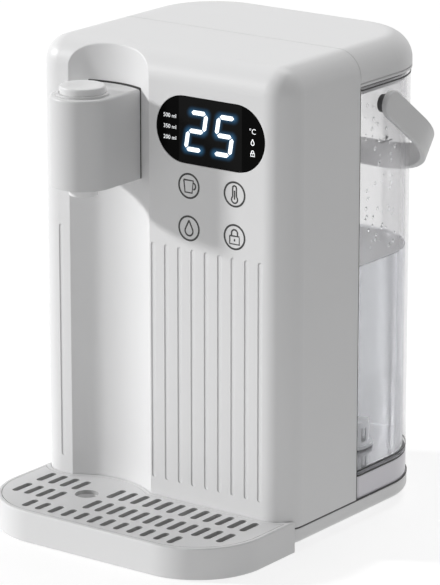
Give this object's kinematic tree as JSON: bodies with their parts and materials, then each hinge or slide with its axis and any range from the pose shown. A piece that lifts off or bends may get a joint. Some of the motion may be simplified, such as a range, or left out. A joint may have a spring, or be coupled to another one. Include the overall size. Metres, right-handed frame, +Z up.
{
  "type": "hot water dispenser",
  "caption": "Countertop hot water dispenser with a cup niche under a spout head, a display panel, a perforated drip tray and a clear lift-off tank with a swinging handle.",
  "frame": {"origin": "centre of the footprint, on the surface that the feet stand on", "axes": "+Z up, -Y towards the person who draws water, +X to that person's right"},
  "size_m": [0.2046, 0.2496, 0.296],
  "materials": {
    "white_plastic": "satin moulded white",
    "white_fitting": "smooth white",
    "display_black": "polished black",
    "clear_tank": "clear, polished",
    "lilac_skirt": "translucent lilac grey",
    "dark_seal": "matt black",
    "dark_pivot": "dark grey",
    "board_green": "solder mask",
    "steel": "brushed",
    "silicone": "milky",
    "pump_dark": "black"
  },
  "bodies": {
    "dispenser": {"base_pan": "white_plastic", "tank_deck": "white_plastic", "rubber_feet": "dark_seal", "base_screws": "steel", "cord_gland": "dark_seal", "front_shell": "white_plastic", "rear_wall": "white_plastic", "display_window": "display_black", "display_board": "board_green", "display_screws": "steel", "touch_pads": "dark_seal", "power_board": "board_green", "board_screws": "steel", "spout_head": "white_plastic", "spout_clamp": "white_fitting", "spout_floor": "white_plastic", "nozzle": "white_fitting", "button_bracket": "white_fitting", "button_switch": "pump_dark", "button_spring": "steel", "pump_motor": "pump_dark", "pump_head": "pump_dark", "pump_cradle": "dark_seal", "inlet_hose": "silicone", "transfer_hose": "silicone", "outlet_hose": "silicone", "heater_tube": "steel", "heater_end_caps": "white_fitting", "heater_bracket": "steel", "thermal_cutout": "steel", "dock_socket": "white_fitting"},
    "tank": {"tank_shell": "clear_tank", "tank_gasket": "dark_seal", "tank_skirt": "lilac_skirt", "valve_body": "white_fitting", "valve_seal": "dark_seal", "valve_spring": "steel", "handle_pivots": "dark_pivot"},
    "lid": {"tank_lid": "white_plastic", "lid_gasket": "dark_seal"},
    "handle": {"tank_handle": "white_plastic"},
    "valve": {"valve_poppet": "white_fitting"},
    "tray": {"drip_tray": "white_plastic"},
    "grille": {"drip_grille": "white_plastic"},
    "button": {"spout_button": "white_plastic"}
  },
  "joints": [
    {"name": "tank_lift", "type": "slide", "parent": "dispenser", "child": "tank", "axis": [0, 0, 1], "range_m": [0, 0.15]},
    {"name": "lid_lift", "type": "slide", "parent": "tank", "child": "lid", "axis": [0, 0, 1], "range_m": [0, 0.022]},
    {"name": "handle_swing", "type": "hinge", "parent": "tank", "child": "handle", "pos_m": [0, 0.04559, 0.2605], "axis": [1, 0, 0], "range_deg": [0, 126]},
    {"name": "valve_lift", "type": "slide", "parent": "tank", "child": "valve", "axis": [0, 0, 1], "range_m": [0, 0.003], "stiffness_N_per_m": 150, "springref_m": -0.002, "deforming": ["valve_spring"]},
    {"name": "tray_slide", "type": "slide", "parent": "dispenser", "child": "tray", "axis": [0, -1, 0], "range_m": [0, 0.09]},
    {"name": "grille_lift", "type": "slide", "parent": "tray", "child": "grille", "axis": [0, 0, 1], "range_m": [0, 0.03]},
    {"name": "button_press", "type": "slide", "parent": "dispenser", "child": "button", "axis": [0, 0, -1], "range_m": [0, 0.003], "stiffness_N_per_m": 500, "springref_m": -0.002, "deforming": ["button_spring"]}
  ]
}
